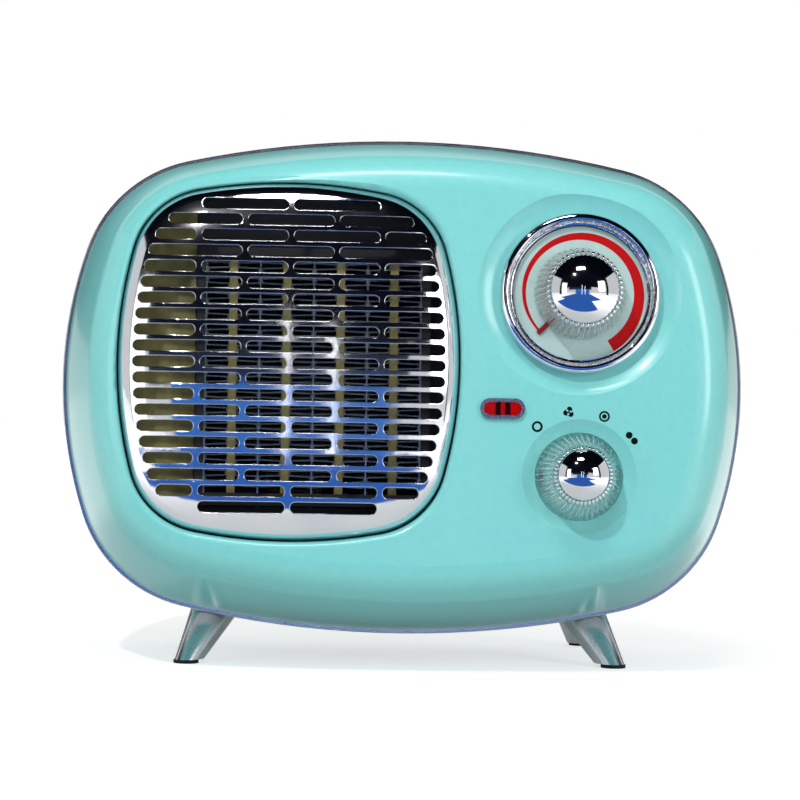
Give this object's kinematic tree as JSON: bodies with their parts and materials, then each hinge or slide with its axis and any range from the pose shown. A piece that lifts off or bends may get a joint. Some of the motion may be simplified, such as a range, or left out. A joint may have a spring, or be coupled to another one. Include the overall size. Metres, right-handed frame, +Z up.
{
  "type": "ceramic fan heater",
  "caption": "Rounded retro ceramic fan heater on splayed legs, with a domed slotted grille, a clear thermostat knob, a clear mode knob and a red pilot lamp.",
  "frame": {"origin": "on the table under the middle of the bounding box", "axes": "+X to the right seen from the front, -Y out of the front face, +Z up"},
  "size_m": [0.29, 0.175, 0.2232],
  "materials": {
    "case_plastic": "smooth pale turquoise paint-gloss ABS",
    "band_chrome": "polished plated band",
    "grille_chrome": "polished plated ABS",
    "duct_plastic": "dark heat-resisting nylon",
    "mica": "mottled mica sheet",
    "frame_plastic": "black glass-filled nylon",
    "ceramic": "unglazed barium titanate ceramic",
    "fin_aluminium": "thin mill-finish strip",
    "contact_plate": "plain stamped strip",
    "cutout_bakelite": "moulded phenolic",
    "fuse_can": "tinned can",
    "filter_net": "black dust net",
    "shroud_plastic": "black nylon",
    "fan_plastic": "natural nylon",
    "steel": "ground steel",
    "rotor_steel": "cast cage on steel laminations",
    "lamination": "stacked sheet steel",
    "coil_copper": "wound enamelled wire under tape",
    "bronze": "sintered bronze",
    "zinc_steel": "zinc-plated",
    "bezel_chrome": "polished plated ring",
    "dial_plate": "pale grey-green moulding",
    "clear_acrylic": "clear fluted acrylic",
    "cap_chrome": "polished plated cap",
    "pointer_red": "dark red plastic",
    "control_body": "cream nylon",
    "lamp_chrome": "polished plated rim",
    "lens_red": "clear red polycarbonate",
    "lamp_glass": "clear glass",
    "electrode": "dark nickel wire in a ceramic foot",
    "leg_chrome": "polished plated tapered leg",
    "pad_rubber": "black rubber",
    "gland_plastic": "black nylon",
    "terminal_plastic": "white nylon"
  },
  "bodies": {
    "case": {"front_shell": "case_plastic", "rear_shell": "case_plastic", "intake_filter": "filter_net", "trim_band": "band_chrome", "outlet_grille": "grille_chrome", "air_duct": "duct_plastic", "mica_panel": "mica", "ptc_frame": "frame_plastic", "ptc_bars": "ceramic", "ptc_fins": "fin_aluminium", "ptc_contacts": "contact_plate", "thermal_cutout": "cutout_bakelite", "thermal_fuse": "fuse_can", "fan_shroud": "shroud_plastic", "motor_stator": "lamination", "motor_coil": "coil_copper", "motor_brackets": "zinc_steel", "motor_bearings": "bronze", "motor_screws": "zinc_steel", "dial_bezel": "bezel_chrome", "dial_plate": "dial_plate", "thermostat_body": "control_body", "switch_body": "control_body", "control_screws": "zinc_steel", "lamp_bezel": "lamp_chrome", "lamp_lens": "lens_red", "neon_lamp": "lamp_glass", "lamp_electrodes": "electrode", "leg_front_left": "leg_chrome", "leg_front_right": "leg_chrome", "leg_rear_left": "leg_chrome", "leg_rear_right": "leg_chrome", "pad_front_left": "pad_rubber", "pad_front_right": "pad_rubber", "pad_rear_left": "pad_rubber", "pad_rear_right": "pad_rubber", "leg_screws": "zinc_steel", "case_screws": "zinc_steel", "duct_screws": "zinc_steel", "cord_gland": "gland_plastic", "terminal_block": "terminal_plastic"},
    "thermostat": {"thermostat_knob": "clear_acrylic", "thermostat_cap": "cap_chrome", "thermostat_pointer": "pointer_red", "thermostat_shaft": "steel"},
    "mode": {"mode_knob": "clear_acrylic", "mode_cap": "cap_chrome", "switch_shaft": "steel"},
    "fan": {"fan_impeller": "fan_plastic", "motor_shaft": "steel", "motor_rotor": "rotor_steel"}
  },
  "joints": [
    {"name": "thermostat_turn", "type": "hinge", "parent": "case", "child": "thermostat", "pos_m": [0.0688, -0.06077, 0.15784], "axis": [0, 0.9962, -0.0872], "range_deg": [0, 283]},
    {"name": "mode_turn", "type": "hinge", "parent": "case", "child": "mode", "pos_m": [0.069, -0.06444, 0.08268], "axis": [0, 0.9962, -0.0872], "range_deg": [0, 93]},
    {"name": "fan_spin", "type": "hinge", "parent": "case", "child": "fan", "pos_m": [-0.0398, -0.00794, 0.11809], "axis": [0, 0.9962, -0.0872], "continuous": true}
  ]
}
